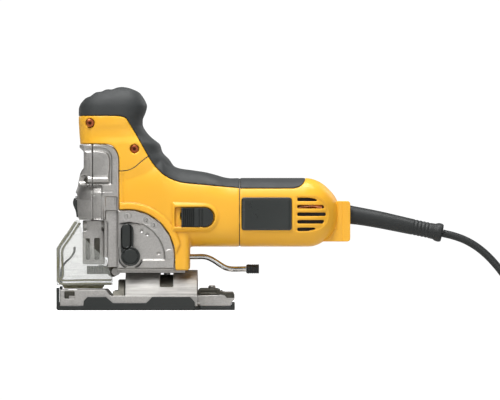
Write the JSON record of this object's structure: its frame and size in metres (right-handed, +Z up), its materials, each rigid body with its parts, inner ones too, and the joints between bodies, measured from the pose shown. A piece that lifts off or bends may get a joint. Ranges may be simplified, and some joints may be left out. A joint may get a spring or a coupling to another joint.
{
  "type": "jigsaw",
  "caption": "Corded body-grip jigsaw with a barrel motor housing, orbital-action lever, slide switch and a tilting shoe.",
  "frame": {"origin": "on the flat face of the sole, on the centreline, below the bevel quadrant and 50.5 mm behind the blade axis", "axes": "+X towards the rear (the lead), so the blade end is at -X; +Y towards the tool's right-hand side; +Z up from the sole"},
  "size_m": [0.5356, 0.1172, 0.2024],
  "materials": {
    "yellow_plastic": "satin moulded nylon",
    "rubber": "fine matte overmould",
    "black_plastic": "textured matte",
    "badge_plastic": "smooth charcoal",
    "cast_aluminium": "fine as-cast",
    "steel": "machined",
    "chrome": "bright plated",
    "screw_steel": "dark zinc",
    "copper": "enamelled winding wire",
    "bronze": "sintered",
    "carbon": "pressed carbon",
    "nylon": "moulded",
    "clear_plastic": "clear polycarbonate",
    "cord_rubber": "smooth rubber sheath"
  },
  "bodies": {
    "housing": {"arm_pin": "steel", "badge_left": "badge_plastic", "badge_right": "badge_plastic", "bearing_plate": "cast_aluminium", "bevel_bolt": "steel", "brush_holder_left": "bronze", "brush_holder_right": "bronze", "brush_left": "carbon", "brush_right": "carbon", "cord": "cord_rubber", "cord_boot": "cord_rubber", "cord_clamp": "yellow_plastic", "cord_coil": "cord_rubber", "cord_tail": "cord_rubber", "cord_tie": "black_plastic", "field_winding_front": "copper", "field_winding_rear": "copper", "front_bearing": "steel", "front_cover": "cast_aluminium", "gear_case": "cast_aluminium", "grip_left": "rubber", "grip_right": "rubber", "guide_block": "cast_aluminium", "housing_left": "yellow_plastic", "housing_right": "yellow_plastic", "housing_screw_front": "screw_steel", "housing_screw_rear": "screw_steel", "lower_bushing": "bronze", "plug": "cord_rubber", "rear_bearing": "steel", "rear_cover": "yellow_plastic", "rear_grip": "rubber", "stator": "steel", "switch_bezel": "yellow_plastic", "switch_module": "black_plastic", "upper_bushing": "bronze"},
    "armature": {"armature_shaft": "steel", "armature_core": "steel", "commutator": "copper", "cooling_fan": "nylon"},
    "gear": {"drive_gear": "steel"},
    "plunger": {"plunger": "steel", "blade_clamp": "steel"},
    "counterweight": {"counterweight": "steel"},
    "orbital_lever": {"orbital_lever": "black_plastic"},
    "roller_arm": {"roller_arm": "steel"},
    "roller": {"support_roller": "steel"},
    "release_lever": {"blade_release_lever": "black_plastic"},
    "bevel_lever": {"bevel_lever": "chrome", "bevel_lever_tip": "rubber"},
    "shoe": {"shoe_casting": "cast_aluminium", "shoe_cover": "black_plastic", "splinter_insert": "black_plastic", "bevel_quadrant": "steel", "shoe_clamp_plate": "black_plastic", "shoe_screw_left": "steel", "shoe_screw_right": "steel"},
    "switch_slider": {"switch_slider": "black_plastic"},
    "chip_guard": {"chip_guard": "clear_plastic"}
  },
  "joints": [
    {"name": "armature_spin", "type": "hinge", "parent": "housing", "child": "armature", "pos_m": [0, 0, 0.0884], "axis": [1, 0, 0], "continuous": true},
    {"name": "gear_spin", "type": "hinge", "parent": "housing", "child": "gear", "pos_m": [0, 0, 0.115], "axis": [1, 0, 0], "continuous": true},
    {"name": "plunger_slide", "type": "slide", "parent": "housing", "child": "plunger", "axis": [0, 0, 1], "range_m": [-0.013, 0.013]},
    {"name": "counterweight_slide", "type": "slide", "parent": "housing", "child": "counterweight", "axis": [0, 0, 1], "range_m": [-0.013, 0.013]},
    {"name": "orbital_swing", "type": "hinge", "parent": "housing", "child": "orbital_lever", "pos_m": [-0.017, 0, 0.0487], "axis": [0, 1, 0], "range_deg": [0, 86]},
    {"name": "roller_arm_swing", "type": "hinge", "parent": "housing", "child": "roller_arm", "pos_m": [-0.033, 0, 0.062], "axis": [0, 1, 0], "range_deg": [0, 2]},
    {"name": "roller_spin", "type": "hinge", "parent": "roller_arm", "child": "roller", "pos_m": [-0.0446, 0, 0.0366], "axis": [0, 1, 0], "continuous": true},
    {"name": "release_swing", "type": "hinge", "parent": "housing", "child": "release_lever", "pos_m": [-0.067, 0, 0.101], "axis": [0, 1, 0], "range_deg": [0, 35]},
    {"name": "bevel_lock_swing", "type": "hinge", "parent": "housing", "child": "bevel_lever", "pos_m": [0.0155, 0, 0.048], "axis": [0, 0, 1], "range_deg": [0, 40]},
    {"name": "shoe_tilt", "type": "hinge", "parent": "housing", "child": "shoe", "pos_m": [0, 0, 0], "axis": [1, 0, 0], "range_deg": [-45, 45]},
    {"name": "switch_slide", "type": "slide", "parent": "housing", "child": "switch_slider", "axis": [-1, 0, 0], "range_m": [0, 0.0055]},
    {"name": "guard_slide", "type": "slide", "parent": "housing", "child": "chip_guard", "axis": [-1, 0, 0], "range_m": [0, 0.03]}
  ],
  "couplings": [
    {"joint": "gear_spin", "follows": "armature_spin", "ratio": -0.19091},
    {"joint": "counterweight_slide", "follows": "plunger_slide", "ratio": -1}
  ]
}
